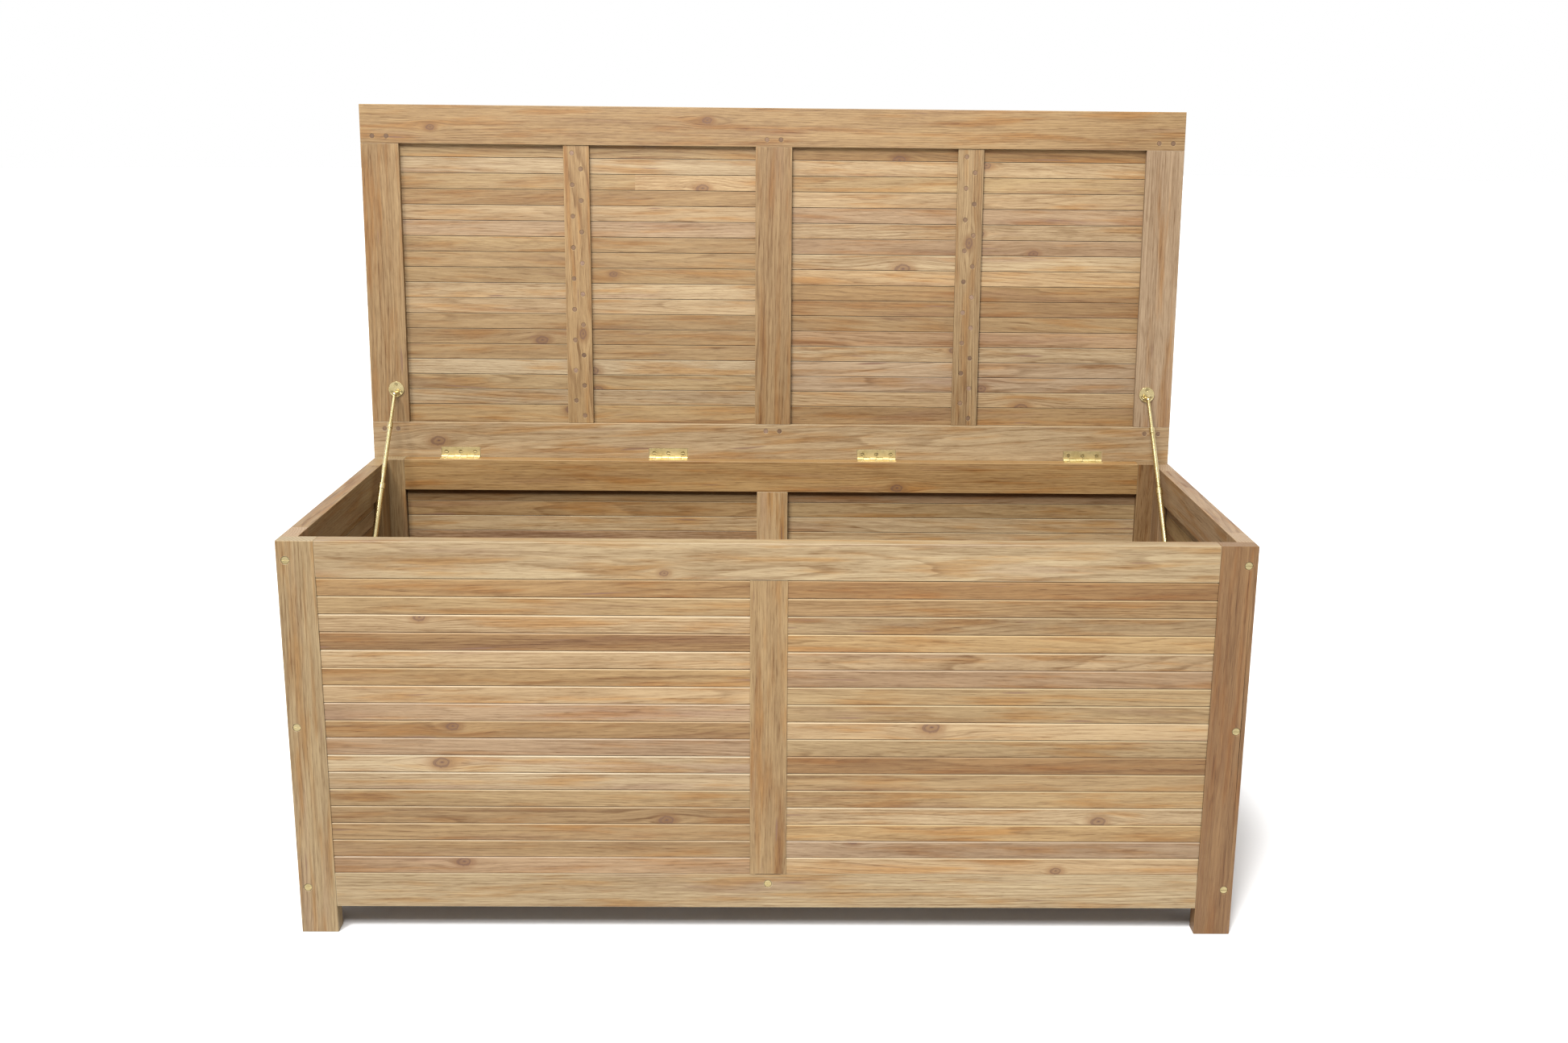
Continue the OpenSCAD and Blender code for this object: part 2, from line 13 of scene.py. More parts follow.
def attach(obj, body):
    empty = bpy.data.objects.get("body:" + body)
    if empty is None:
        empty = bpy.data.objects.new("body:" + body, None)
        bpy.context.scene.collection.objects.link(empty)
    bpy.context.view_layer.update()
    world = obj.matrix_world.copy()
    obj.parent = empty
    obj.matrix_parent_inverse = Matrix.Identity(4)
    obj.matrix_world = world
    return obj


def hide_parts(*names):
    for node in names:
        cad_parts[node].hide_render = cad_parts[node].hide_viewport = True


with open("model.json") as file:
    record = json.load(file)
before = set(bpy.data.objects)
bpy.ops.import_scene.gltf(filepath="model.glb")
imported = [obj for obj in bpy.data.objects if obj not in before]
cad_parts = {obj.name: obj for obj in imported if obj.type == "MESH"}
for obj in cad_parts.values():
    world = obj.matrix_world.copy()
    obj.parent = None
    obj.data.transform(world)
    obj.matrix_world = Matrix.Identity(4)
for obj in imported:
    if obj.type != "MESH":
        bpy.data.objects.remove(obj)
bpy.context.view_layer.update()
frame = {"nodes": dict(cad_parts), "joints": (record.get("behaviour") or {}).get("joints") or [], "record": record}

MM = 0.001
BODY_OF = {n: b for b, nodes in frame["record"]["behaviour"]["bodies"].items() for n in nodes}
SLOT_OF = {s["node"]: s["material_slot"] for s in frame["record"]["subparts"]}
LID_HINGE = next(j for j in frame["joints"] if j["name"] == "lid_hinge")
# At rest the open lid leans back this far past upright
LID_LEAN = math.radians(LID_HINGE["range_deg"][1] - 90)
LID_AXES = Matrix.Rotation(-LID_LEAN, 3, "X")


# ---- Camera ----

IMAGE_W = 1946
FOCAL_PX = 2041.0
CAMERA_AT = Vector((0.0211, -2.8083, 1.2966))
PITCH, YAW, ROLL = math.radians(14.274), math.radians(0.888), math.radians(-0.575)
SHIFT = (-0.0151, 0.0096)


def make_camera():
    """The camera at the photograph's viewing angle."""
    data = bpy.data.cameras.new("camera")
    data.sensor_width = 36
    data.lens = data.sensor_width * FOCAL_PX / IMAGE_W
    data.shift_x, data.shift_y = SHIFT
    data.clip_end = 100
    forward = Vector((math.sin(YAW) * math.cos(PITCH), math.cos(YAW) * math.cos(PITCH),
                      -math.sin(PITCH)))
    level = Vector((math.cos(YAW), -math.sin(YAW), 0))
    down = forward.cross(level)
    right = math.cos(ROLL) * level + math.sin(ROLL) * down
    up = math.sin(ROLL) * level - math.cos(ROLL) * down
    camera = bpy.data.objects.new("camera", data)
    camera.matrix_world = Matrix.Translation(CAMERA_AT) @ Matrix(
        (right, up, -forward)).transposed().to_4x4()
    bpy.context.scene.collection.objects.link(camera)
    bpy.context.scene.camera = camera


# ---- Node graphs ----

class Graph:
    """Short calls for building the nodes of one new material or world."""

    def __init__(self, owner):
        owner.use_nodes = True
        self.owner = owner
        self.tree = owner.node_tree

    def put(self, value, socket):
        """Links a socket, or sets a plain value."""
        if isinstance(value, bpy.types.NodeSocket):
            self.tree.links.new(value, socket)
        else:
            socket.default_value = value

    def node(self, kind, *inputs, **settings):
        """A new node with these settings and, in their order, these inputs."""
        made = self.tree.nodes.new("ShaderNode" + kind)
        for key, value in settings.items():
            setattr(made, key, value)
        for socket, value in zip(made.inputs, inputs):
            if value is not None:
                self.put(value, socket)
        return made

    def attribute(self, name, output="Vector"):
        return self.node("Attribute", attribute_name=name).outputs[output]

    def math(self, operation, a, b=None, c=None):
        return self.node("Math", a, b, c, operation=operation).outputs[0]

    def plus(self, total, value, factor):
        """total + value * factor"""
        return self.math("MULTIPLY_ADD", value, factor, total)

    def clamped(self, a, b=0.0):
        """a + b, kept within 0 and 1."""
        return self.node("Math", a, b, operation="ADD", use_clamp=True).outputs[0]

    def scaled(self, vector, factors):
        return self.node("VectorMath", vector, factors, operation="MULTIPLY").outputs[0]

    def length(self, vector):
        return self.node("VectorMath", vector, operation="LENGTH").outputs["Value"]

    def noise(self, vector, along, across, detail=2.0, roughness=0.5):
        """Noise about 0 to 1, with this many waves a metre along the grain and across it."""
        made = self.node("TexNoise", self.scaled(vector, (along, across, across)))
        made.inputs["Scale"].default_value = 1
        made.inputs["Detail"].default_value = detail
        made.inputs["Roughness"].default_value = roughness
        return made.outputs["Fac"]

    def centred(self, *noise):
        """The same noise, about -0.5 to 0.5."""
        return self.math("SUBTRACT", self.noise(*noise), 0.5)

    def smooth(self, value, low, high, out_low=0.0, out_high=1.0):
        """value from low to high, as out_low to out_high with soft ends."""
        made = self.node("MapRange", value, low, high, out_low, out_high,
                         interpolation_type="SMOOTHSTEP")
        return made.outputs[0]

    def mix(self, share, a, b, blend="MIX"):
        """The colour a, with this share of b laid over it."""
        made = self.node("Mix", data_type="RGBA", blend_type=blend)
        factor, first, second = (made.inputs[i] for i in (0, 6, 7))
        self.put(share, factor)
        self.put(a, first)
        self.put(b, second)
        return made.outputs[2]

    def times(self, a, b):
        """Two colours multiplied."""
        return self.mix(1.0, a, b, "MULTIPLY")

    def ramp(self, value, *stops):
        """A grey ramp of (place, shade) stops."""
        made = self.node("ValToRGB", value)
        elements = made.color_ramp.elements
        while len(elements) < len(stops):
            elements.new(0.5)
        for element, (place, shade) in zip(elements, stops):
            element.position = place
            element.color = (shade, shade, shade, 1)
        return made.outputs["Color"]

    def bump(self, height, strength, distance):
        made = self.node("Bump")
        made.inputs["Strength"].default_value = strength
        made.inputs["Distance"].default_value = distance
        self.put(height, made.inputs["Height"])
        return made.outputs["Normal"]

    def surface(self, sockets):
        """Sets these sockets of the material's shader and returns the material."""
        for name, value in sockets.items():
            self.put(value, self.tree.nodes["Principled BSDF"].inputs[name])
        return self.owner


# ---- Teak ----

RING = 4.8 * MM
# Multipliers of a board's tone
DARKEST = (0.48, 0.365, 0.245, 1)
LIGHTEST = (1.23, 1.28, 1.36, 1)
FLAME = (0.91, 0.73, 0.51, 1)
MAUVE = (0.82, 0.75, 0.80, 1)
KNOT_HALO = (0.68, 0.52, 0.40, 1)
# Painted highlight: the pale tint laid on eased edges, strongest on the slats' up-facing chamfers
PAINTED_EDGE_HIGHLIGHT = (1.42, 1.58, 1.85, 1)
END_GRAIN = (1.18, 1.32, 1.58, 1)
END_EARLY, END_LATE = (1.06, 1.06, 1.06, 1), (0.66, 0.60, 0.52, 1)
# Colours on their own
MINERAL = (0.16, 0.085, 0.052, 1)
KNOT_RING = (0.095, 0.048, 0.034, 1)
# Painted shade on the down-facing slat edges, where the joint gaps fall dark
PAINTED_JOINT_SHADE = (0.13, 0.075, 0.035, 1)


def teak_place(g):
    """(each point's place in its log, its distance from the knot), in metres."""
    knot = g.attribute("knot")
    far = g.length(g.scaled(knot, (0.30, 1, 0)))
    parting = g.node("VectorMath", g.attribute("pull"), operation="SCALE")
    g.put(g.smooth(far, 0.024, 0.0, 0.0, -0.92), parting.inputs["Scale"])
    place = g.node("VectorMath", g.attribute("grain"), parting.outputs[0], operation="ADD")
    near = g.length(g.scaled(knot, (0.62, 1, 0)))
    ragged = g.centred(g.scaled(knot, (1, 1, 0)), 150, 150)
    return place.outputs[0], g.plus(near, ragged, 0.0042)


def teak_rings(g, place):
    """Wavering growth rings about the log's axis: 1 in late wood, 0 in early wood."""
    parts = g.node("SeparateXYZ", place)
    square = g.math("MULTIPLY", parts.outputs[1], parts.outputs[1])
    square = g.plus(square, parts.outputs[2], parts.outputs[2])
    radius = g.plus(g.math("SQRT", square), g.centred(place, 1.6, 12), 0.034)
    radius = g.plus(radius, g.centred(place, 9, 80, 3), 0.0042)
    phase = g.math("FRACT", g.math("DIVIDE", radius, RING))
    return g.ramp(phase, (0.0, 0.9), (0.06, 1.0), (0.20, 0.55), (0.42, 0.22), (0.80, 0.10),
                  (0.93, 0.0), (1.0, 0.9))


def teak_light(g, place, ring, streak, fibre, pore):
    """How light the wood is, from 0 to 1."""
    light = g.plus(0.67, g.centred(place, 1.1, 17), 0.85)
    light = g.plus(light, g.centred(place, 2.2, 70, 3, 0.6), 0.85)
    light = g.plus(light, g.math("SUBTRACT", streak, 0.5), 0.85)
    light = g.plus(light, g.math("SUBTRACT", fibre, 0.5), 1.1)
    ring_depth = g.smooth(g.noise(place, 1.1, 25, 1), 0.32, 0.68, 0.08, 0.46)
    ring_shade = g.math("MULTIPLY", g.math("SUBTRACT", ring, 0.3), ring_depth)
    light = g.math("SUBTRACT", light, ring_shade)
    dash = g.smooth(g.noise(place, 17, 460), 0.60, 0.70)
    return g.clamped(g.plus(g.plus(light, pore, -0.26), dash, -0.34))


def teak_streaks(g, place, colour):
    """Lays orange heartwood flames and a few mauve and dark mineral streaks over a colour."""
    flame = g.smooth(g.noise(place, 6, 70, 3), 0.46, 0.71)
    colour = g.mix(flame, colour, g.times(colour, FLAME))
    mauve = g.smooth(g.noise(place, 2.6, 40, 3), 0.54, 0.76, 0.0, 0.9)
    colour = g.mix(mauve, colour, g.times(colour, MAUVE))
    mineral = g.smooth(g.noise(place, 8, 150, 1), 0.72, 0.79, 0.0, 0.8)
    return g.mix(mineral, colour, MINERAL)


def teak_knot(g, near, tone, colour):
    """(a colour with the knot's warm halo, dark ring and paler eye over it, how dark it is)."""
    halo = g.smooth(near, 0.016, 0.005, 0.0, 0.75)
    colour = g.mix(halo, colour, g.times(tone, KNOT_HALO))
    dark = g.ramp(g.math("DIVIDE", near, 0.0072), (0.0, 0.95), (0.13, 0.85), (0.24, 0.30),
                  (0.48, 0.18), (0.66, 0.62), (0.80, 0.72), (1.0, 0.0))
    circles = g.math("SINE", g.math("MULTIPLY", near, 4200.0))
    circles = g.math("MULTIPLY", circles, g.smooth(near, 0.017, 0.004, 0.0, 0.14))
    dark = g.clamped(dark, circles)
    return g.mix(g.math("MULTIPLY", dark, 0.90), colour, KNOT_RING), dark


def teak_edges(g, ring, streak, tone, colour):
    """Lays pale eased edges (a painted highlight, strongest on up-facing slat chamfers), painted shade on the
    down-facing slat edges at the joints, and end grain over a colour.
    """
    edge, ends = g.attribute("edge", "Fac"), g.attribute("ends", "Fac")
    # Share of painted highlight: eased edges paler, fully on the up-facing slat chamfers
    pale = g.math("MULTIPLY", g.smooth(edge, 0.0, 1.0), g.smooth(streak, 0.25, 0.7, 1.0, 0.72))
    colour = g.mix(pale, colour, g.times(tone, PAINTED_EDGE_HIGHLIGHT))
    # Painted shade: down-facing slat edges darkened at the joints
    colour = g.mix(g.smooth(edge, 0.0, -1.0, 0.0, 0.85), colour, PAINTED_JOINT_SHADE)
    end_colour = g.times(g.times(tone, END_GRAIN), g.mix(ring, END_EARLY, END_LATE))
    return g.mix(g.math("MULTIPLY", ends, 0.8), colour, end_colour)


def teak_material():
    """Solid teak. The grain attribute holds each point's place in its own log, in metres."""
    g = Graph(bpy.data.materials.new("teak"))
    tone = g.attribute("tone", "Color")
    place, near = teak_place(g)
    ring = teak_rings(g, place)
    streak = g.noise(place, 9, 300, 3, 0.6)
    fibre = g.noise(place, 30, 950, 2, 0.6)
    pore = g.smooth(g.noise(place, 55, 1100, 1), 0.60, 0.72)

    light = teak_light(g, place, ring, streak, fibre, pore)
    colour = g.times(tone, g.mix(light, DARKEST, LIGHTEST))
    colour = teak_streaks(g, place, colour)
    colour, knot = teak_knot(g, near, tone, colour)
    colour = teak_edges(g, ring, streak, tone, colour)

    relief = g.plus(g.math("MULTIPLY", fibre, 0.5), ring, -0.30)
    relief = g.plus(g.plus(relief, pore, -0.6), knot, -0.5)
    return g.surface({"Base Color": colour,
                      "Roughness": g.smooth(streak, 0.3, 0.7, 0.44, 0.58),
                      "Specular IOR Level": 0.4,
                      "Normal": g.bump(relief, 0.35, 0.4 * MM)})


# ---- Boards ----

# Shades of teak, as they look in daylight, 0 to 255
SHADES = {"p": (205, 174, 129), "h": (193, 159, 109), "t": (184, 149, 101),
          "a": (188, 146, 90), "b": (170, 130, 82), "r": (191, 157, 117),
          "d": (166, 125, 79), "y": (203, 176, 132)}
# A lit board looks this much brighter than its reflected share
DAYLIGHT = 1.98
# How often each shade comes up among the slats of the case and of the lid, and elsewhere
SLAT_MIX = {"case": "pppphhhhtttrrabb", "lid": "ppppphhttttrrrab"}
OTHER_MIX = "hhttprab"
GLUED_MIX = "phtr"
BOARD_SHADES = {
    "front_left_stile": "h", "front_right_stile": "d", "front_top_rail": "y",
    "front_bottom_rail": "y", "front_mullion": "h", "lid_muntin": "t",
    "lid_front_rail": "t", "lid_hinge_rail": "p", "lid_left_stile": "t",
    "lid_right_stile": "r", "lid_batten_left": "t", "lid_batten_right": "t",
}
EDGE_WIDTH = {"teak_slats": 0.5 * MM, "teak_frame": 1.0 * MM}
# Shares of board sections with a knot, and of slats glued from two lengths
KNOT_SHARE = {"case": 0.12, "lid": 0.42}
GLUED_SHARE = 0.06
SECTION_LENGTH = 0.34
NO_KNOT = 10.0


def linear(shade):
    """A shade of 0 to 255 as the reflected share of light."""
    return [((c / 255 + 0.055) / 1.055) ** 2.4 / DAYLIGHT for c in shade]


def varied(letter, rng):
    """One board's colour near a named shade."""
    lift, blush = rng.gauss(0, 4), rng.gauss(0, 2)
    red, green, blue = SHADES[letter]
    return linear((red + 0.8 * lift + blush, green + lift, blue + lift - blush))


def solids(node):
    """The separate solids of a CAD node as (points, faces), flat areas joined into one face."""
    bm = bmesh.new()
    bm.from_mesh(frame["nodes"][node].data)
    bmesh.ops.remove_doubles(bm, verts=bm.verts, dist=MM / 1000)
    bmesh.ops.dissolve_limit(bm, angle_limit=math.radians(0.6), verts=bm.verts, edges=bm.edges)
    found, left = [], set(bm.verts)
    while left:
        island, reached = set(), [min(left, key=lambda v: v.index)]
        while reached:
            v = reached.pop()
            if v not in island:
                island.add(v)
                reached += [e.other_vert(v) for e in v.link_edges]
        left -= island
        order = {v: i for i, v in enumerate(sorted(island, key=lambda v: v.index))}
        faces = sorted({f for v in island for f in v.link_faces}, key=lambda f: f.index)
        found.append(([v.co.copy() for v in order],
                      [[order[v] for v in f.verts] for f in faces]))
    bm.free()
    return found


def plain_mesh(name, parts):
    """One mesh from several (points, faces)."""
    points, faces = [], []
    for some_points, some_faces in parts:
        faces += [[len(points) + i for i in face] for face in some_faces]
        points += some_points
    mesh = bpy.data.meshes.new(name)
    mesh.from_pydata(points, [], faces)
    return mesh


def rounded(name, mesh, width, segments=2):
    """A new object from this mesh with its sharp edges eased by this width."""
    mesh.shade_smooth()
    made = bpy.data.objects.new(name, mesh)
    bpy.context.scene.collection.objects.link(made)
    ease = made.modifiers.new("ease", "BEVEL")
    ease.width, ease.segments = width, segments
    ease.limit_method, ease.angle_limit = "ANGLE", math.radians(35)
    ease.use_clamp_overlap = False
    flat = made.modifiers.new("flat", "WEIGHTED_NORMAL")
    flat.weight = 90
    now = bpy.context.evaluated_depsgraph_get()
    final = bpy.data.meshes.new_from_object(made.evaluated_get(now), depsgraph=now)
    made.modifiers.clear()
    made.data = final
    final.name = name
    bpy.data.meshes.remove(mesh)
    return made


def board_axes(points, axes):
    """(centre, axes, sizes) of a board, in the order length, width, thickness."""
    local = np.array([axes.transposed() @ p for p in points])
    low, high = local.min(0), local.max(0)
    order = np.argsort(-(high - low))
    columns = [axes.col[int(i)].copy() for i in order]
    return axes @ Vector((low + high) / 2), columns, (high - low)[order]


def corner_vertices(mesh):
    """The vertex of each face corner."""
    corners = np.zeros(len(mesh.loops), int)
    mesh.loops.foreach_get("vertex_index", corners)
    return corners


def write(mesh, name, kind, values):
    """Writes an attribute, one value for each face corner."""
    made = mesh.attributes.new(name, kind, "CORNER")
    key = {"FLOAT_VECTOR": "vector", "FLOAT_COLOR": "color", "FLOAT": "value"}[kind]
    made.data.foreach_set(key, np.asarray(values, np.float32).ravel())


def log_place(rng):
    """Where a board was sawn from its log: (matrix, offset) from board axes to log axes."""
    turn = rng.choice((rng.uniform(-0.5, 0.5), rng.uniform(0.9, 1.6)))
    slope, drift = rng.gauss(0, 0.022), rng.gauss(0, 0.012)
    matrix = np.array([[1, 0, 0],
                       [slope, math.cos(turn), -math.sin(turn)],
                       [drift, math.sin(turn), math.cos(turn)]])
    offset = [rng.uniform(-4, 4), rng.uniform(-0.03, 0.03), rng.uniform(0.03, 0.14)]
    return matrix, np.array(offset)


def sections(length, rng, glued_share):
    """Places along a board where it is cut for painting, and whether each is a glued joint."""
    if rng.random() < glued_share:
        return [(rng.uniform(-0.3, 0.3) * length, True)]
    count = int(length / SECTION_LENGTH)
    return [((i + 1) / count * length - length / 2, False) for i in range(count - 1)]


def cut(mesh, centre, along, spots):
    """Adds edge loops across a board at these places along it."""
    bm = bmesh.new()
    bm.from_mesh(mesh)
    for spot in spots:
        bmesh.ops.bisect_plane(bm, geom=bm.verts[:] + bm.edges[:] + bm.faces[:],
                               plane_co=centre + along * spot, plane_no=along)
    bm.to_mesh(mesh)
    bm.free()


def paint_grain(mesh, centre, basis, sizes, cuts, letter, rng, knot_share):
    """Gives each section of a board its grain, its shade and perhaps a knot."""
    points = np.array([v.co for v in mesh.vertices])
    local = ((points - np.array(centre)) @ basis.T)[corner_vertices(mesh)]
    middles = (np.array([p.center for p in mesh.polygons]) - np.array(centre)) @ basis.T
    sides = [p.loop_total for p in mesh.polygons]
    grain, pull = np.zeros_like(local), np.zeros_like(local)
    knot = np.full_like(local, NO_KNOT)
    tone = np.ones((len(local), 4))
    past_end = 9.0
    stops = [-past_end] + [spot for spot, glued in cuts] + [past_end]
    matrix, offset = log_place(rng)
    shade = varied(letter, rng)
    for i in range(len(stops) - 1):
        inside = np.repeat((middles[:, 0] > stops[i]) & (middles[:, 0] <= stops[i + 1]), sides)
        if i and cuts[i - 1][1]:
            matrix, offset = log_place(rng)
            shade = varied(rng.choice(GLUED_MIX), rng)
        grain[inside] = (local @ matrix.T + offset)[inside]
        tone[inside, :3] = shade
        start, stop = max(stops[i], -sizes[0] / 2), min(stops[i + 1], sizes[0] / 2)
        at = np.array([start + (stop - start) * rng.uniform(0.3, 0.7),
                       rng.uniform(-0.38, 0.38) * sizes[1], 0])
        grown = rng.uniform(0.6, 1.5)
        if rng.random() < knot_share and stop - start > 0.2:
            knot[inside] = ((local - at) / grown)[inside]
            pull[inside] = (((local - at) * (0, 1, 0)) @ matrix.T)[inside]
    write(mesh, "grain", "FLOAT_VECTOR", grain)
    write(mesh, "tone", "FLOAT_COLOR", tone)
    write(mesh, "knot", "FLOAT_VECTOR", knot)
    write(mesh, "pull", "FLOAT_VECTOR", pull)


def paint_sides(mesh, basis, up):
    """Marks a board's end grain and its eased edges, which get a painted highlight. With up given,
    those that face up get the painted highlight and the others painted shade."""
    sides = [p.loop_total for p in mesh.polygons]
    world_normals = np.array([p.normal for p in mesh.polygons])
    normals = abs(world_normals @ basis.T)
    write(mesh, "ends", "FLOAT", np.repeat((normals[:, 0] > 0.8).astype(float), sides))
    eased = (normals.max(1) < 0.985) & (normals[:, 0] < 0.5)
    edge = 0.45 * eased
    if up is not None:
        # Up-facing eased edges get painted highlight, down-facing ones painted shade
        edge = eased * np.where(world_normals @ np.array(up) > 0, 1.0, -1.0)
    write(mesh, "edge", "FLOAT", np.repeat(edge, sides))


def make_board(name, node, part, rng):
    """One painted board of a CAD node, from its (points, faces)."""
    body, slot = BODY_OF[node], SLOT_OF[node]
    slat = slot == "teak_slats" and not node.startswith("floor")
    letter = BOARD_SHADES.get(node) or rng.choice(SLAT_MIX[body] if slat else OTHER_MIX)
    axes = LID_AXES if body == "lid" else Matrix.Identity(3)
    centre, columns, sizes = board_axes(part[0], axes)
    cuts = sections(sizes[0], rng, GLUED_SHARE if slat else 0.0)
    mesh = plain_mesh(name, [part])
    cut(mesh, centre, columns[0], [spot for spot, glued in cuts])
    made = rounded(name + "_wood", mesh, EDGE_WIDTH[slot])
    basis = np.array([list(c) for c in columns])
    paint_grain(made.data, centre, basis, sizes, cuts, letter, rng, KNOT_SHARE[body])
    paint_sides(made.data, basis, axes.col[2] if slat else None)
    return made


def joined(pieces, name):
    """These objects as one."""
    with bpy.context.temp_override(active_object=pieces[0], selected_editable_objects=pieces):
        bpy.ops.object.join()
    pieces[0].name = name
    return pieces[0]


def finish_piece(made, node, material):
    """Gives a piece its material and puts it in its CAD node's place."""
    made.data.materials.clear()
    made.data.materials.append(material)
    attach(made, BODY_OF[node])
    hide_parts(node)


def make_boards(teak):
    """Every teak board as its own piece, from the lowest solid of its CAD node up, but the
    floor's slats as one piece."""
    for node, slot in SLOT_OF.items():
        if slot not in EDGE_WIDTH:
            continue
        rng = random.Random("board " + node)
        axes = LID_AXES if BODY_OF[node] == "lid" else Matrix.Identity(3)
        parts = solids(node)
        parts.sort(key=lambda part: sum((axes.transposed() @ p).z for p in part[0]) / len(part[0]))
        names = [node] if len(parts) == 1 else [
            "%s_%02d" % (node, i + 1) for i in range(len(parts))]
        pieces = [make_board(name, node, part, rng) for name, part in zip(names, parts)]
        if node == "floor_slats":
            pieces = [joined(pieces, "floor_slats_wood")]
        for made in pieces:
            finish_piece(made, node, teak)


# ---- Plugs and brass ----

PLUG_SHADES = ((150, 116, 84), (162, 127, 95), (136, 103, 74), (178, 144, 118))
PLUG_DARKEST, PLUG_LIGHTEST = (0.6, 0.55, 0.5, 1), (1.3, 1.3, 1.3, 1)
BRIGHT_BRASS, TARNISHED_BRASS = (0.72, 0.59, 0.31), (0.58, 0.46, 0.21)
# How far apart the plugs lie in their noise, for each step in their order
PLUG_STEP = 0.37


def plug_material():
    """Dark end-grain teak of the plugs and pegs."""
    g = Graph(bpy.data.materials.new("teak_plugs"))
    place, tone = g.attribute("grain"), g.attribute("tone", "Color")
    dots = g.noise(place, 900, 900)
    share = g.plus(0.5, g.math("SUBTRACT", dots, 0.5), 1.2)
    share = g.clamped(g.plus(share, g.centred(place, 160, 160), 0.9))
    return g.surface({"Base Color": g.times(tone, g.mix(share, PLUG_DARKEST, PLUG_LIGHTEST)),
                      "Roughness": g.smooth(dots, 0.3, 0.7, 0.6, 0.75),
                      "Normal": g.bump(dots, 0.3, 0.3 * MM)})


def brass_material(name, smooth, worn, shade):
    """Brass with drag lines, handling marks and tarnish; its roughness runs from smooth to worn."""
    g = Graph(bpy.data.materials.new(name))
    place = g.node("TexCoord").outputs["Object"]
    lines = g.noise(place, 180, 2600)
    marks = g.noise(place, 260, 260, 4, 0.6)
    bright, tarnished = ([shade * c for c in colour] + [1]
                         for colour in (BRIGHT_BRASS, TARNISHED_BRASS))
    tarnish = g.smooth(g.noise(place, 55, 55, 3), 0.36, 0.72, 0.0, 0.8)
    return g.surface({"Base Color": g.mix(tarnish, bright, tarnished),
                      "Metallic": 1.0,
                      "Roughness": g.plus(g.smooth(marks, 0.30, 0.80, smooth, worn), lines, 0.05),
                      "Normal": g.bump(g.plus(lines, marks, 0.6), 0.08, 0.02 * MM)})


def make_plugs(material):
    """All plugs and pegs of the lid, each in one of four shades."""
    rng = random.Random("plugs")
    parts = solids("lid_plugs")
    middles = np.array([sum(points, Vector()) / len(points) for points, faces in parts])
    shades = np.array([linear(rng.choice(PLUG_SHADES)) + [1] for _ in parts])
    made = rounded("lid_plugs_wood", plain_mesh("lid_plugs", parts), 0.25 * MM, 1)
    mesh = made.data
    points = np.array([v.co for v in mesh.vertices])
    plug = np.array([((middles - p) ** 2).sum(1).argmin() for p in points])
    corners = corner_vertices(mesh)
    write(mesh, "grain", "FLOAT_VECTOR", (points + plug[:, None] * PLUG_STEP)[corners])
    write(mesh, "tone", "FLOAT_COLOR", shades[plug[corners]])
    finish_piece(made, "lid_plugs", material)


def make_brass():
    """Every brass node with eased edges: satin hinge leaves, dull screws, the rest polished."""
    satin = brass_material("brass_satin", 0.46, 0.60, 0.84)
    dull = brass_material("brass_dull", 0.30, 0.50, 0.66)
    polished = brass_material("brass_polished", 0.20, 0.30, 0.90)
    for node, slot in SLOT_OF.items():
        if slot == "brass":
            made = rounded(node + "_brass", plain_mesh(node, solids(node)), 0.3 * MM)
            finish_piece(made, node, satin if "leaf" in node else
                         dull if "screws" in node else polished)


# ---- Stage ----

FLOOR_RADIUS, FLOOR_CORNERS = 40, 96
WHITE = (1, 1, 1, 1)
SUN_AT, SUN_TARGET = Vector((-1.3, -2.5, 5.0)), Vector((0, 0.1, 0.7))
KEY_AT, KEY_TARGET = Vector((-0.5, -2.6, 3.0)), Vector((0.0, 0.35, 1.05))


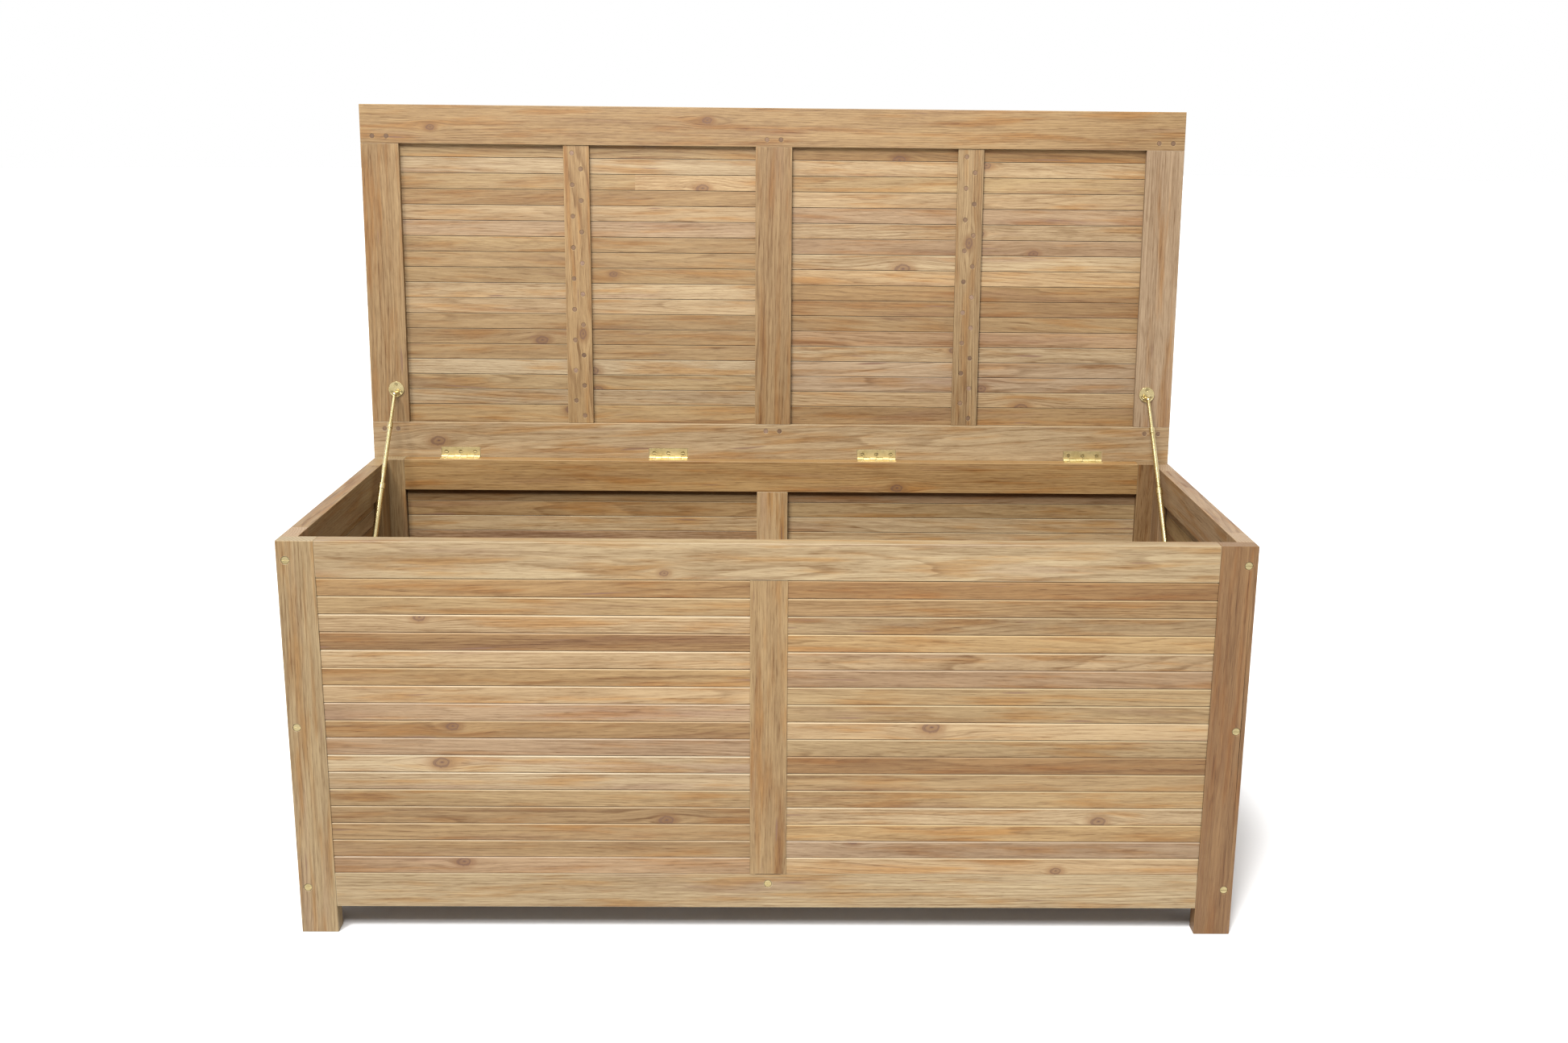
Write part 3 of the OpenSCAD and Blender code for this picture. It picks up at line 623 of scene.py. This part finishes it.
def make_floor():
    """A wide, nearly even, pale disc."""
    g = Graph(bpy.data.materials.new("floor"))
    place = g.node("TexCoord").outputs["Object"]
    shade = g.smooth(g.noise(place, 0.7, 0.7, 3), 0.3, 0.7, 0.86, 0.90)
    mesh = bpy.data.meshes.new("floor")
    turns = [2 * math.pi * i / FLOOR_CORNERS for i in range(FLOOR_CORNERS)]
    points = [(FLOOR_RADIUS * math.cos(a), FLOOR_RADIUS * math.sin(a), 0) for a in turns]
    mesh.from_pydata(points, [], [list(range(FLOOR_CORNERS))])
    mesh.materials.append(g.surface({
        "Base Color": g.node("CombineXYZ", shade, shade, shade).outputs[0],
        "Roughness": 0.9,
        "Specular IOR Level": 0.1}))
    floor = bpy.data.objects.new("floor", mesh)
    bpy.context.scene.collection.objects.link(floor)


def make_sky():
    """White behind the box; a softer sky, dimmer low in front, lights it."""
    g = Graph(bpy.data.worlds.new("sky"))
    g.tree.nodes.clear()
    parts = g.node("SeparateXYZ", g.node("TexCoord").outputs["Generated"])
    back = g.node("MapRange", parts.outputs[1], -0.9, 0.1, 0.10, 0.90).outputs[0]
    soft = g.node("Background", WHITE, g.plus(back, parts.outputs[2], 0.35)).outputs[0]
    white = g.node("Background", WHITE).outputs[0]
    seen = g.node("LightPath").outputs["Is Camera Ray"]
    g.node("OutputWorld", g.node("MixShader", seen, soft, white).outputs[0])
    bpy.context.scene.world = g.owner


def aim(lamp, at, target):
    """Hangs a lamp at this place, turned to the target."""
    made = bpy.data.objects.new(lamp.name, lamp)
    made.location = at
    made.rotation_euler = (target - at).to_track_quat("-Z", "Y").to_euler()
    bpy.context.scene.collection.objects.link(made)


def make_lamps():
    """A soft sun from the left and a lamp above the front, which lights the lid."""
    sun = bpy.data.lights.new("sun", "SUN")
    sun.energy, sun.angle = 2.7, math.radians(12)
    aim(sun, SUN_AT, SUN_TARGET)
    key = bpy.data.lights.new("key", "AREA")
    key.size, key.energy, key.spread = 1.1, 26, math.radians(75)
    aim(key, KEY_AT, KEY_TARGET)


make_camera()
make_boards(teak_material())
make_plugs(plug_material())
make_brass()
make_floor()
make_sky()
make_lamps()
bpy.context.scene.view_settings.view_transform = "Standard"
